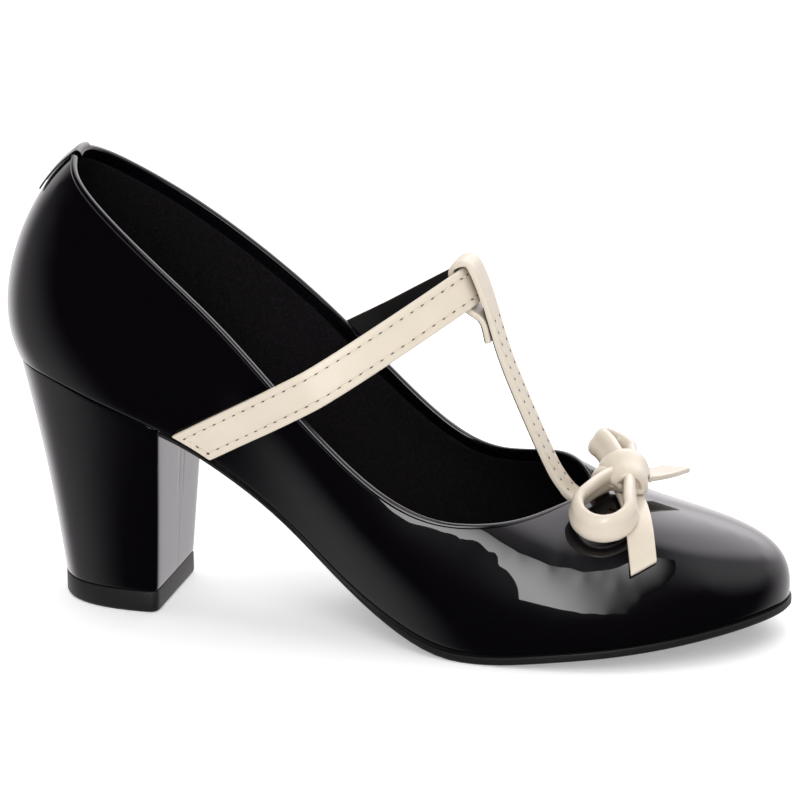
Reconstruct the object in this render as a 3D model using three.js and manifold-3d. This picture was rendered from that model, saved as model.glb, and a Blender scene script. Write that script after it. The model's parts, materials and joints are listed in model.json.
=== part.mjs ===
// A mary jane pump for the right foot, in millimetres, +X to the toe, +Y to the inner side, +Z up.
// The origin is the centre of the top lift's floor face.
import * as THREE from 'three';
import Module from 'manifold-3d';
import { mergeVertices } from 'three/addons/utils/BufferGeometryUtils.js';

const wasm = await Module();
wasm.setup();

// Size of the last
const LENGTH = 229;
const BALL_WIDTH = 76;
const RIM_WIDTH = 63;
const HEEL_HEIGHT = 71.6;
const BACK_HEIGHT = 61.7;
const TOE_SPRING = 10;
const HEEL_OVERHANG = 16.7;

// Walls and soles
const WALL = 1.8;
const SOLE_FOREPART = 2.5;
const SOLE_WAIST = 1.2;
const SOLE_MARGIN = 0.5;
const SOLE_EDGE = 0.6;
const INSOLE = 2.2;

// Heel and lift
const LIFT_LENGTH = 33;
const LIFT_WIDTH = 39;
const LIFT = 6.5;
const LIFT_EDGE = 0.7;
const BREAST_LEAN = 3;
const HEEL_HOLLOW = 1;
const HEEL_INSET = 0.5;
const HEEL_CORNER = 2.6;

// Straps
const STRAP_WIDTH = 11;
const STRAP = 1.8;
const T_WIDTH = 10;
const T_THICK = 2;
const T_UNDER = 9;
const T_SINK = 0.6;
const T_CLEAR = 0.45;
const LOOP_FLAP = 10;
const LOOP_BOW = 0.8;
const LOOP_ALONG = 0.601;
const LOOP_RISE = 60.5;
const STRAP_TILT = 23;
const STRAP_START = 1.3;
const STRAP_CLEAR = 6;
const STRAP_LEAVE = 0.55;
const STRAP_ARRIVE = 0.35;
const STRAP_BEND = 0.3;

// Tab over the collar
const TAB_WIDTH = 10;
const TAB = 0.8;
const TAB_OUTSIDE = 15;
const TAB_INSIDE = 8;

// Bow
const BOW_RIBBON = 7.6;
const RIBBON = 1.6;
const LOOP_RIBBON = 2.6;
const LOOP_ROUND = 125;
const TAIL_SLANT = -0.5;
const KNOT_AHEAD = 8;
const KNOT_WIDTH = 11.5;
const KNOT_HEIGHT = 11;
const KNOT_DEPTH = 13;

// Clearance between pieces that meet
const GAP = 0.3;

// Fineness of the faceted solids
const SIDE_STATIONS = 46;
const WALL_ROWS = 10;

const BACK = -LIFT_LENGTH / 2 - HEEL_OVERHANG;
const BREAST = LIFT_LENGTH / 2 + BREAST_LEAN;
const UP = new THREE.Vector3(0, 0, 1);

// Ribs of the upper, round the shoe from the back along the outer side.
// foot and side place the feather line, in shares of LENGTH and BALL_WIDTH.
// rim and rimSide place the topline, in shares of LENGTH and RIM_WIDTH, and wall is a share of BACK_HEIGHT.
// lean is the outward slope of the wall at the foot and drop its fall from the rim, both in degrees.
// full and crown are the reach of those two slopes, in shares of the rib.
const RIBS = [
  { foot: 0.018, side: 0.000, rim: 0.101, rimSide: 0.000, wall: 0.975, lean: 32, full: 0.29, drop: 34, crown: 0.30 },
  { foot: 0.051, side: -0.222, rim: 0.110, rimSide: -0.175, wall: 0.940, lean: 28, full: 0.29, drop: 40, crown: 0.30 },
  { foot: 0.134, side: -0.331, rim: 0.139, rimSide: -0.306, wall: 0.924, lean: 10, full: 0.30, drop: 72, crown: 0.30 },
  { foot: 0.230, side: -0.344, rim: 0.204, rimSide: -0.389, wall: 0.859, lean: 8, full: 0.33, drop: 84, crown: 0.33 },
  { foot: 0.374, side: -0.328, rim: 0.322, rimSide: -0.452, wall: 0.827, lean: 12, full: 0.33, drop: 86, crown: 0.33 },
  { foot: 0.497, side: -0.367, rim: 0.444, rimSide: -0.492, wall: 0.773, lean: 14, full: 0.33, drop: 86, crown: 0.33 },
  { foot: 0.619, side: -0.465, rim: 0.558, rimSide: -0.492, wall: 0.626, lean: 8, full: 0.33, drop: 72, crown: 0.33 },
  { foot: 0.710, side: -0.470, rim: 0.628, rimSide: -0.457, wall: 0.557, lean: 6, full: 0.33, drop: 55, crown: 0.36 },
  { foot: 0.802, side: -0.426, rim: 0.682, rimSide: -0.357, wall: 0.525, lean: 8, full: 0.33, drop: 38, crown: 0.42 },
  { foot: 0.898, side: -0.294, rim: 0.721, rimSide: -0.198, wall: 0.506, lean: 10, full: 0.33, drop: 22, crown: 0.50 },
  { foot: 0.967, side: -0.118, rim: 0.743, rimSide: -0.095, wall: 0.488, lean: 12, full: 0.34, drop: 12, crown: 0.55 },
  { foot: 0.997, side: 0.065, rim: 0.754, rimSide: 0.008, wall: 0.485, lean: 13, full: 0.33, drop: 11, crown: 0.56 },
  { foot: 0.978, side: 0.235, rim: 0.745, rimSide: 0.111, wall: 0.510, lean: 12, full: 0.33, drop: 22, crown: 0.53 },
  { foot: 0.914, side: 0.392, rim: 0.722, rimSide: 0.235, wall: 0.575, lean: 10, full: 0.32, drop: 34, crown: 0.47 },
  { foot: 0.820, side: 0.488, rim: 0.684, rimSide: 0.373, wall: 0.608, lean: 8, full: 0.31, drop: 50, crown: 0.39 },
  { foot: 0.724, side: 0.516, rim: 0.632, rimSide: 0.460, wall: 0.613, lean: 6, full: 0.33, drop: 56, crown: 0.35 },
  { foot: 0.619, side: 0.464, rim: 0.566, rimSide: 0.492, wall: 0.686, lean: 10, full: 0.33, drop: 70, crown: 0.33 },
  { foot: 0.505, side: 0.320, rim: 0.470, rimSide: 0.508, wall: 0.818, lean: 22, full: 0.33, drop: 84, crown: 0.33 },
  { foot: 0.374, side: 0.255, rim: 0.357, rimSide: 0.468, wall: 0.810, lean: 22, full: 0.33, drop: 86, crown: 0.33 },
  { foot: 0.230, side: 0.318, rim: 0.215, rimSide: 0.389, wall: 0.891, lean: 10, full: 0.33, drop: 84, crown: 0.33 },
  { foot: 0.134, side: 0.324, rim: 0.143, rimSide: 0.306, wall: 0.934, lean: 10, full: 0.30, drop: 72, crown: 0.30 },
  { foot: 0.051, side: 0.222, rim: 0.110, rimSide: 0.175, wall: 0.948, lean: 28, full: 0.29, drop: 40, crown: 0.30 },
];
const ribFeet = RIBS.map((row) => row.foot);
const TIP_RIB = ribFeet.indexOf(Math.max(...ribFeet));

// Underside of the shoe from back to toe: at is a share of LENGTH, heel of HEEL_HEIGHT and toe of TOE_SPRING.
const UNDERSIDE = [
  { at: 0.000, heel: 0.987, toe: 0 },
  { at: 0.065, heel: 0.966, toe: 0 },
  { at: 0.103, heel: 0.936, toe: 0 },
  { at: 0.138, heel: 0.895, toe: 0 },
  { at: 0.178, heel: 0.851, toe: 0 },
  { at: 0.230, heel: 0.786, toe: 0 },
  { at: 0.265, heel: 0.738, toe: 0 },
  { at: 0.304, heel: 0.663, toe: 0 },
  { at: 0.344, heel: 0.576, toe: 0 },
  { at: 0.386, heel: 0.469, toe: 0 },
  { at: 0.412, heel: 0.391, toe: 0 },
  { at: 0.439, heel: 0.307, toe: 0 },
  { at: 0.466, heel: 0.229, toe: 0 },
  { at: 0.494, heel: 0.158, toe: 0 },
  { at: 0.523, heel: 0.100, toe: 0 },
  { at: 0.549, heel: 0.056, toe: 0 },
  { at: 0.576, heel: 0.021, toe: 0 },
  { at: 0.600, heel: 0.000, toe: 0 },
  { at: 0.650, heel: 0.000, toe: 0 },
  { at: 0.690, heel: 0.000, toe: 0.09 },
  { at: 0.735, heel: 0.000, toe: 0.22 },
  { at: 0.818, heel: 0.000, toe: 0.44 },
  { at: 0.878, heel: 0.000, toe: 0.61 },
  { at: 0.936, heel: 0.000, toe: 0.80 },
  { at: 1.000, heel: 0.000, toe: 1.00 },
];
const WAIST_END = 0.45;
const FOREPART_START = 0.56;

const alongX = (share) => BACK + share * LENGTH;
const shareOf = (x) => (x - BACK) / LENGTH;
const radians = (degrees) => degrees * Math.PI / 180;
const clamp = (value, low, high) => Math.min(Math.max(value, low), high);
const ease = (t) => t * t * (3 - 2 * t);
const mix = (a, b, t) => a + (b - a) * t;

// Monotone curve through a table's points
function curveThrough(xs, ys) {
  const last = xs.length - 1;
  const slope = [];
  for (let i = 0; i < last; i += 1) slope.push((ys[i + 1] - ys[i]) / (xs[i + 1] - xs[i]));
  const tangent = [slope[0]];
  for (let i = 1; i < last; i += 1) {
    const same = slope[i - 1] * slope[i] > 0;
    tangent.push(same ? 2 * slope[i - 1] * slope[i] / (slope[i - 1] + slope[i]) : 0);
  }
  tangent.push(slope[last - 1]);
  return (x) => {
    const at = clamp(x, xs[0], xs[last]);
    let i = 0;
    while (i < last - 1 && at > xs[i + 1]) i += 1;
    const span = xs[i + 1] - xs[i];
    const t = (at - xs[i]) / span;
    const rise = ys[i] * (1 + 2 * t) * (1 - t) ** 2 + ys[i + 1] * t * t * (3 - 2 * t);
    return rise + span * (tangent[i] * t * (1 - t) ** 2 + tangent[i + 1] * t * t * (t - 1));
  };
}

// Smooth closed curve through values at rising places, repeating after the period
function closedCurve(places, values, period) {
  const count = places.length;
  const sweeps = 200;
  const step = places.map((p, i) => (i + 1 < count ? places[i + 1] : places[0] + period) - p);
  const bend = new Array(count).fill(0);
  for (let sweep = 0; sweep < sweeps; sweep += 1) {
    for (let i = 0; i < count; i += 1) {
      const before = (i + count - 1) % count;
      const after = (i + 1) % count;
      const turn = (values[after] - values[i]) / step[i] - (values[i] - values[before]) / step[before];
      const pull = step[before] * bend[before] + step[i] * bend[after];
      bend[i] = (6 * turn - pull) / (2 * (step[before] + step[i]));
    }
  }
  return (place) => {
    const at = ((place % period) + period) % period;
    let i = count - 1;
    while (i > 0 && at < places[i]) i -= 1;
    const after = (i + 1) % count;
    const right = (at - places[i]) / step[i];
    const left = 1 - right;
    const lift = (left ** 3 - left) * bend[i] + (right ** 3 - right) * bend[after];
    return left * values[i] + right * values[after] + lift * step[i] ** 2 / 6;
  };
}

// Height of the underside, and of the surface that upper and insole stand on
const underside = curveThrough(
  UNDERSIDE.map((row) => alongX(row.at)),
  UNDERSIDE.map((row) => row.heel * HEEL_HEIGHT + row.toe * TOE_SPRING),
);
const soleThickness = (x) => {
  const t = clamp((shareOf(x) - WAIST_END) / (FOREPART_START - WAIST_END), 0, 1);
  return mix(SOLE_WAIST, SOLE_FOREPART, ease(t));
};
const seat = (x) => underside(x) + soleThickness(x);

// The four control curves of the upper's wall, from its ribs
const wallCurves = (() => {
  const feet = RIBS.map((row) => new THREE.Vector3(alongX(row.foot), row.side * BALL_WIDTH, 0));
  feet.forEach((foot) => foot.setZ(seat(foot.x) + GAP));
  const rims = RIBS.map((row, i) => {
    const height = feet[i].z + row.wall * BACK_HEIGHT;
    return new THREE.Vector3(alongX(row.rim), row.rimSide * RIM_WIDTH, height);
  });
  const places = [0];
  const count = RIBS.length;
  for (let i = 1; i <= count; i += 1) {
    places.push(places[i - 1] + feet[i % count].distanceTo(feet[i - 1]));
  }
  const period = places.pop();
  const curveOf = (points) => {
    const axes = ['x', 'y', 'z'].map((axis) => closedCurve(places, points.map((p) => p[axis]), period));
    return (place) => new THREE.Vector3(...axes.map((axis) => axis(place)));
  };
  const outward = (curve, place) => {
    const small = period / 1000;
    const along = curve(place + small).sub(curve(place - small)).setZ(0).normalize();
    return new THREE.Vector3(along.y, -along.x, 0);
  };
  const footLine = curveOf(feet);
  const foot = (place) => {
    const point = footLine(place);
    return point.setZ(seat(point.x) + GAP);
  };
  const rim = curveOf(rims);
  const low = feet.map((point, i) => {
    const lean = radians(RIBS[i].lean);
    const reach = RIBS[i].full * point.distanceTo(rims[i]);
    return point.clone().addScaledVector(outward(foot, places[i]), reach * Math.sin(lean))
      .addScaledVector(UP, reach * Math.cos(lean));
  });
  const high = rims.map((point, i) => {
    const drop = radians(RIBS[i].drop);
    const reach = RIBS[i].crown * point.distanceTo(feet[i]);
    return point.clone().addScaledVector(outward(rim, places[i]), reach * Math.cos(drop))
      .addScaledVector(UP, -reach * Math.sin(drop));
  });
  return { foot, low: curveOf(low), high: curveOf(high), rim, places, period };
})();

// Point of the upper's outside: place runs round the shoe, rise from 0 at the foot to 1 at the rim
function upperAt(place, rise) {
  const rest = 1 - rise;
  return wallCurves.foot(place).multiplyScalar(rest ** 3)
    .addScaledVector(wallCurves.low(place), 3 * rest * rest * rise)
    .addScaledVector(wallCurves.high(place), 3 * rest * rise * rise)
    .addScaledVector(wallCurves.rim(place), rise ** 3);
}

// Outward direction of the upper's outside
function upperOut(place, rise) {
  const small = 0.001;
  const around = upperAt(place + small, rise).sub(upperAt(place - small, rise));
  const above = upperAt(place, Math.min(rise + small, 1)).sub(upperAt(place, Math.max(rise - small, 0)));
  return around.cross(above).normalize();
}

// Place and rise of the upper's outside where two of its coordinates have given values
function findOnUpper(axes, wanted, place, rise) {
  const small = 0.001;
  const tries = 30;
  for (let i = 0; i < tries; i += 1) {
    const here = upperAt(place, rise);
    const miss = axes.map((axis, k) => wanted[k] - here[axis]);
    const byPlace = upperAt(place + small, rise).sub(here).divideScalar(small);
    const byRise = upperAt(place, rise + small).sub(here).divideScalar(small);
    const [a, b] = axes;
    const size = byPlace[a] * byRise[b] - byPlace[b] * byRise[a];
    const stepPlace = (miss[0] * byRise[b] - miss[1] * byRise[a]) / size;
    const stepRise = (byPlace[a] * miss[1] - byPlace[b] * miss[0]) / size;
    place += clamp(stepPlace, -20, 20);
    rise = clamp(rise + clamp(stepRise, -0.3, 0.3), -0.2, 1.2);
  }
  return { place, rise };
}

// Place of the toe's tip, where the feather line reaches furthest forward
const TIP_PLACE = (() => {
  let best = wallCurves.places[TIP_RIB];
  const step = 0.05;
  while (wallCurves.foot(best + step).x > wallCurves.foot(best).x) best += step;
  while (wallCurves.foot(best - step).x > wallCurves.foot(best).x) best -= step;
  return best;
})();
const TIP = wallCurves.foot(TIP_PLACE);
const HEEL_POINT = wallCurves.foot(0);

// Place on the outer (-1) or inner (1) side where the feather line reaches x
function placeAt(x, side) {
  let low = side < 0 ? 0 : wallCurves.period;
  let high = TIP_PLACE;
  const halvings = 50;
  for (let i = 0; i < halvings; i += 1) {
    const middle = (low + high) / 2;
    if (wallCurves.foot(middle).x < x) low = middle;
    else high = middle;
  }
  return (low + high) / 2;
}

// Stations of the sole from heel to toe, close together at its round ends
const soleStations = (() => {
  const list = [];
  for (let i = 0; i <= SIDE_STATIONS; i += 1) {
    list.push(mix(HEEL_POINT.x, TIP.x, (1 - Math.cos(Math.PI * i / SIDE_STATIONS)) / 2));
  }
  return list;
})();

// A closed body from faces between shared points
class Body {
  constructor() {
    this.points = [];
    this.known = new Map();
    this.faces = [];
  }

  point(p) {
    const fine = 10000;
    const key = [p.x, p.y, p.z].map((value) => Math.round(value * fine)).join();
    if (!this.known.has(key)) {
      this.known.set(key, this.points.length);
      this.points.push(p);
    }
    return this.known.get(key);
  }

  triangle(a, b, c) {
    const [i, j, k] = [a, b, c].map((p) => this.point(p));
    if (i !== j && j !== k && k !== i) this.faces.push([i, j, k]);
  }

  quad(a, b, c, d) {
    this.triangle(a, b, c);
    this.triangle(a, c, d);
  }

  geometry() {
    let volume = 0;
    for (const [i, j, k] of this.faces) {
      volume += this.points[i].dot(this.points[j].clone().cross(this.points[k])) / 6;
    }
    const order = volume < 0 ? [0, 2, 1] : [0, 1, 2];
    const geometry = new THREE.BufferGeometry();
    const positions = this.points.flatMap((p) => [p.x, p.y, p.z]);
    geometry.setAttribute('position', new THREE.Float32BufferAttribute(positions, 3));
    geometry.setIndex(this.faces.flatMap((face) => order.map((k) => face[k])));
    return geometry;
  }
}

// A plate from layers of stations, each with a left and a right point
function plate(layers) {
  const body = new Body();
  const rings = layers.map((layer) => [
    ...layer.map((station) => station.left),
    ...layer.map((station) => station.right).reverse(),
  ]);
  for (let k = 0; k + 1 < rings.length; k += 1) {
    rings[k].forEach((point, i) => {
      const next = (i + 1) % rings[k].length;
      body.quad(point, rings[k][next], rings[k + 1][next], rings[k + 1][i]);
    });
  }
  const cap = (layer, turned) => {
    for (let i = 0; i + 1 < layer.length; i += 1) {
      const corners = [layer[i].left, layer[i].right, layer[i + 1].right, layer[i + 1].left];
      body.quad(...(turned ? corners.reverse() : corners));
    }
  };
  cap(layers[0], false);
  cap(layers[layers.length - 1], true);
  return body.geometry();
}

// A sheet of some thickness between a front and a back grid, which may close on itself along its rows
function sheet(front, back, closed) {
  const body = new Body();
  const columns = front[0].length;
  const ends = closed ? columns : columns - 1;
  for (let i = 0; i + 1 < front.length; i += 1) {
    for (let j = 0; j < ends; j += 1) {
      const next = (j + 1) % columns;
      body.quad(front[i][j], front[i][next], front[i + 1][next], front[i + 1][j]);
      body.quad(back[i][j], back[i + 1][j], back[i + 1][next], back[i][next]);
    }
  }
  const last = front.length - 1;
  for (let j = 0; j < ends; j += 1) {
    const next = (j + 1) % columns;
    body.quad(front[0][j], back[0][j], back[0][next], front[0][next]);
    body.quad(front[last][next], back[last][next], back[last][j], front[last][j]);
  }
  if (!closed) {
    for (let i = 0; i < last; i += 1) {
      const far = columns - 1;
      body.quad(front[i + 1][0], back[i + 1][0], back[i][0], front[i][0]);
      body.quad(front[i][far], back[i][far], back[i + 1][far], front[i + 1][far]);
    }
  }
  return body.geometry();
}

// A ribbon along stations, each with its middle, the direction across it and its half width
function ribbon(path, thickness, columns) {
  const front = [];
  const back = [];
  path.forEach((station, i) => {
    const before = path[Math.max(i - 1, 0)].middle;
    const after = path[Math.min(i + 1, path.length - 1)].middle;
    const along = after.clone().sub(before).normalize();
    const out = station.out ?? along.clone().cross(station.across).normalize();
    const row = [];
    for (let j = 0; j <= columns; j += 1) {
      const shift = mix(-1, 1, j / columns);
      row.push(station.middle.clone().addScaledVector(station.across, shift * station.half));
    }
    front.push(row.map((p) => p.clone().addScaledVector(out, thickness / 2)));
    back.push(row.map((p) => p.clone().addScaledVector(out, -thickness / 2)));
  });
  return sheet(front, back, false);
}

// Joining and cutting
function toSolid(geometry) {
  const merged = mergeVertices(geometry);
  return new wasm.Manifold(new wasm.Mesh({
    numProp: 3,
    vertProperties: new Float32Array(merged.attributes.position.array),
    triVerts: new Uint32Array(merged.index.array),
  }));
}

function fromSolid(solid) {
  const mesh = solid.getMesh();
  const geometry = new THREE.BufferGeometry();
  geometry.setAttribute('position', new THREE.Float32BufferAttribute(mesh.vertProperties, 3));
  geometry.setIndex([...mesh.triVerts]);
  return geometry;
}

// Sole parts
function soleStation(x, inset, height) {
  const point = (side) => {
    const place = placeAt(x, side);
    const at = wallCurves.foot(place);
    const small = 0.01;
    const along = wallCurves.foot(place + small).sub(wallCurves.foot(place - small)).setZ(0).normalize();
    const out = new THREE.Vector3(along.y, -along.x, 0);
    at.addScaledVector(out, -inset);
    return at.setZ(height(at.x));
  };
  return { left: point(-1), right: point(1) };
}

function outsole() {
  const from = BREAST + GAP;
  const xs = [from, ...soleStations.filter((x) => x > from + 1)];
  const layer = (inset, height) => xs.map((x, i) => {
    const station = soleStation(x, inset, height);
    if (i === 0) {
      station.left.setX(from).setZ(height(from));
      station.right.setX(from).setZ(height(from));
    }
    return station;
  });
  return plate([
    layer(SOLE_EDGE - SOLE_MARGIN, underside),
    layer(-SOLE_MARGIN, (x) => underside(x) + Math.min(SOLE_EDGE, SOLE_WAIST / 2)),
    layer(-SOLE_MARGIN, seat),
  ]);
}

function insole() {
  const inset = WALL + 2 * GAP;
  const floor = (x) => seat(x) + GAP;
  return plate([
    soleStations.map((x) => soleStation(x, inset, floor)),
    soleStations.map((x) => soleStation(x, inset, (at) => floor(at) + INSOLE)),
  ]);
}

// Heel: the seat's own outline, drawn in to the lift's size further down
const heelOutline = (() => {
  const rounds = 14;
  const corners = 4;
  const list = [];
  const topLength = BREAST - HEEL_POINT.x;
  const half = Math.abs(wallCurves.foot(placeAt(BREAST, -1)).y);
  for (let i = 0; i <= rounds; i += 1) {
    const share = (1 - Math.cos(Math.PI / 2 * i / rounds)) * (1 - HEEL_CORNER / topLength);
    const x = mix(HEEL_POINT.x, BREAST, share);
    const left = i === 0 ? 0 : wallCurves.foot(placeAt(x, -1)).y;
    const right = i === 0 ? 0 : wallCurves.foot(placeAt(x, 1)).y;
    list.push({ share, short: 0, left: left / half, right: right / half, drawn: 0 });
  }
  const edge = list[list.length - 1];
  for (let i = 1; i <= corners; i += 1) {
    const angle = Math.PI / 2 * i / corners;
    list.push({ share: 1, short: HEEL_CORNER * (1 - Math.sin(angle)), left: edge.left, right: edge.right,
      drawn: HEEL_CORNER * (1 - Math.cos(angle)) });
  }
  edge.short = HEEL_CORNER;
  edge.share = 1;
  return { list, half };
})();

function heelLayer(back, breast, half, height) {
  return heelOutline.list.map((row) => {
    const x = mix(back, breast, row.share) - row.short;
    const left = new THREE.Vector3(x, row.left * half + row.drawn, height(x));
    const right = new THREE.Vector3(x, row.right * half - row.drawn, height(x));
    return { left, right };
  });
}

function heelBlock() {
  const layers = [];
  const count = 8;
  const bottom = LIFT + GAP;
  for (let k = 0; k <= count; k += 1) {
    const share = k / count;
    const hollow = HEEL_HOLLOW * Math.sin(Math.PI * share);
    const back = mix(-LIFT_LENGTH / 2, HEEL_POINT.x + HEEL_INSET, share) + hollow;
    const breast = mix(LIFT_LENGTH / 2, BREAST, share);
    const half = mix(LIFT_WIDTH / 2, heelOutline.half - HEEL_INSET, share) - hollow / 2;
    layers.push(heelLayer(back, breast, half, (x) => mix(bottom, seat(x), share)));
  }
  return plate(layers);
}

function topLift() {
  const half = LIFT_WIDTH / 2;
  const reach = LIFT_LENGTH / 2;
  return plate([
    heelLayer(-reach + LIFT_EDGE, reach - LIFT_EDGE, half - LIFT_EDGE, () => 0),
    heelLayer(-reach, reach, half, () => LIFT_EDGE),
    heelLayer(-reach, reach, half, () => LIFT),
  ]);
}

// Upper
function upper() {
  const xs = soleStations;
  const places = xs.map((x) => placeAt(x, -1));
  places[0] = 0;
  places[SIDE_STATIONS] = TIP_PLACE;
  for (let i = SIDE_STATIONS - 1; i > 0; i -= 1) places.push(placeAt(xs[i], 1));
  const front = [];
  const back = [];
  for (let k = 0; k <= WALL_ROWS; k += 1) {
    const rise = k / WALL_ROWS;
    front.push(places.map((place) => upperAt(place, rise)));
    back.push(places.map((place) => upperAt(place, rise).addScaledVector(upperOut(place, rise), -WALL)));
  }
  return sheet(front, back, true);
}

// Tab folded over the collar at the back
function backTab() {
  const columns = 6;
  const folds = 6;
  const steps = 5;
  const small = 0.02;
  const backHeight = upperAt(0, 0).distanceTo(upperAt(0, 1));
  const widthPerPlace = upperAt(1, 1).distanceTo(upperAt(0, 1));
  const front = [];
  const back = [];
  const rowAt = (rise, turn, away) => {
    const row = [];
    for (let j = 0; j <= columns; j += 1) {
      const place = mix(-0.5, 0.5, j / columns) * TAB_WIDTH / widthPerPlace;
      const out = upperOut(place, rise);
      const above = upperAt(place, rise).sub(upperAt(place, rise - small)).normalize();
      const direction = out.clone().multiplyScalar(Math.cos(turn)).addScaledVector(above, Math.sin(turn));
      const middle = upperAt(place, rise).addScaledVector(out, -WALL / 2);
      row.push(middle.addScaledVector(direction, WALL / 2 + away));
    }
    return row;
  };
  const addRow = (rise, turn) => {
    front.push(rowAt(rise, turn, GAP + TAB));
    back.push(rowAt(rise, turn, GAP));
  };
  for (let i = 0; i < steps; i += 1) addRow(1 - TAB_OUTSIDE / backHeight * (1 - i / steps), 0);
  for (let i = 0; i <= folds; i += 1) addRow(1, Math.PI * i / folds);
  for (let i = 1; i <= steps; i += 1) addRow(1 - TAB_INSIDE / backHeight * (i / steps), Math.PI);
  return sheet(front, back, false);
}

// The upper's outside carried straight on above its rim
function wallAt(place, rise) {
  if (rise <= 1) return { point: upperAt(place, rise), out: upperOut(place, rise) };
  const small = 0.001;
  const edge = upperAt(place, 1);
  const climb = edge.clone().sub(upperAt(place, 1 - small)).divideScalar(small);
  return { point: edge.addScaledVector(climb, rise - 1), out: upperOut(place, 1) };
}

// Point of the topline on one side at x
function rimAt(x, side) {
  let low = side < 0 ? 0 : wallCurves.period;
  let high = TIP_PLACE;
  const halvings = 50;
  for (let i = 0; i < halvings; i += 1) {
    const middle = (low + high) / 2;
    if (wallCurves.rim(middle).x < x) low = middle;
    else high = middle;
  }
  return { place: low, point: wallCurves.rim(low) };
}

// Place and rise of the wall at x and z, found upwards from a near guess
function onWall(x, z, guess) {
  let { place, rise } = guess;
  const small = 0.001;
  const tries = 25;
  for (let i = 0; i < tries; i += 1) {
    const here = wallAt(place, rise).point;
    const byPlace = wallAt(place + small, rise).point.sub(here).divideScalar(small);
    const byRise = wallAt(place, rise + small).point.sub(here).divideScalar(small);
    const size = byPlace.x * byRise.z - byPlace.z * byRise.x;
    const missX = x - here.x;
    const missZ = z - here.z;
    place += clamp((missX * byRise.z - missZ * byRise.x) / size, -8, 8);
    rise += clamp((byPlace.x * missZ - byPlace.z * missX) / size, -0.2, 0.2);
  }
  return { place, rise };
}

// Instep strap: its middle leaves the sole at foot and passes the topline at rim, in shares of LENGTH.
const STRAP_SIDES = [
  { side: -1, foot: 0.272, rim: 0.401 },
  { side: 1, foot: 0.272, rim: 0.424 },
];
const STRAP_COLUMNS = 2;

// Middle of the strap in the loop, and the loop's own directions
const loopX = alongX(LOOP_ALONG);
const loopMiddle = new THREE.Vector3(loopX, 0, rimAt(loopX, -1).point.z + LOOP_RISE);
const tilt = radians(STRAP_TILT);
const loopDown = new THREE.Vector3(Math.sin(tilt), 0, -Math.cos(tilt));
const loopOut = new THREE.Vector3(Math.cos(tilt), 0, Math.sin(tilt));

// Rows across one half of the instep strap, from the sole to the loop
function strapHalf(row) {
  const half = STRAP_WIDTH / 2;
  const columns = [];
  for (let j = 0; j <= STRAP_COLUMNS; j += 1) columns.push(mix(-half, half, j / STRAP_COLUMNS));
  const footX = alongX(row.foot);
  const foot = wallCurves.foot(placeAt(footX, row.side));
  const rim = rimAt(alongX(row.rim), row.side).point;
  const slope = new THREE.Vector3(rim.x - foot.x, 0, rim.z - foot.z).normalize();
  const down = new THREE.Vector3(slope.z, 0, -slope.x);
  const end = rim.clone().addScaledVector(slope, STRAP_CLEAR);
  const starts = columns.map((shift) => {
    const start = foot.clone().addScaledVector(down, shift);
    const tries = 12;
    for (let i = 0; i < tries; i += 1) {
      const miss = seat(start.x) + GAP + STRAP_START - start.z;
      start.addScaledVector(slope, miss * slope.z);
    }
    return start;
  });
  const wallRows = 9;
  const rows = [];
  const guesses = starts.map((start) => ({ place: placeAt(start.x, row.side), rise: 0.05 }));
  for (let i = 0; i <= wallRows; i += 1) {
    rows.push(columns.map((shift, j) => {
      const x = mix(starts[j].x, end.x + down.x * shift, i / wallRows);
      const z = mix(starts[j].z, end.z + down.z * shift, i / wallRows);
      guesses[j] = onWall(x, z, guesses[j]);
      const { point, out } = wallAt(guesses[j].place, guesses[j].rise);
      return point.addScaledVector(out, GAP + STRAP / 2);
    }));
  }
  const freeRows = 14;
  const before = rows[wallRows - 1];
  const from = rows[wallRows];
  const edgeOfLoop = new THREE.Vector3(0, row.side * T_WIDTH / 2, 0).addScaledVector(loopOut, -LOOP_BOW);
  for (let i = 1; i <= freeRows; i += 1) {
    const t = i / freeRows;
    rows.push(columns.map((shift, j) => {
      const to = loopMiddle.clone().addScaledVector(loopDown, shift).add(edgeOfLoop);
      const reach = from[j].distanceTo(to);
      const leave = from[j].clone().sub(before[j]).normalize().multiplyScalar(reach * STRAP_LEAVE);
      const arrive = new THREE.Vector3(0, -row.side, 0).addScaledVector(loopOut, STRAP_BEND)
        .normalize().multiplyScalar(reach * STRAP_ARRIVE);
      return from[j].clone().multiplyScalar(2 * t ** 3 - 3 * t * t + 1)
        .addScaledVector(leave, t ** 3 - 2 * t * t + t)
        .addScaledVector(to, 3 * t * t - 2 * t ** 3)
        .addScaledVector(arrive, t ** 3 - t * t);
    }));
  }
  return rows;
}

function instepStrap() {
  const [near, far] = STRAP_SIDES.map(strapHalf);
  const apex = near[0].map((_, j) => loopMiddle.clone()
    .addScaledVector(loopDown, mix(-1, 1, j / STRAP_COLUMNS) * STRAP_WIDTH / 2));
  return thicken([...near, apex, ...far.reverse()], STRAP);
}

// A sheet of even thickness about a grid of points
function thicken(grid, thickness) {
  const last = grid.length - 1;
  const edge = grid[0].length - 1;
  const outAt = (i, j) => {
    const along = grid[Math.min(i + 1, last)][j].clone().sub(grid[Math.max(i - 1, 0)][j]);
    const across = grid[i][Math.min(j + 1, edge)].clone().sub(grid[i][Math.max(j - 1, 0)]);
    return along.cross(across).normalize();
  };
  const shifted = (shift) => grid.map((row, i) => (
    row.map((p, j) => p.clone().addScaledVector(outAt(i, j), shift))
  ));
  return sheet(shifted(thickness / 2), shifted(-thickness / 2), false);
}

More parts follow.
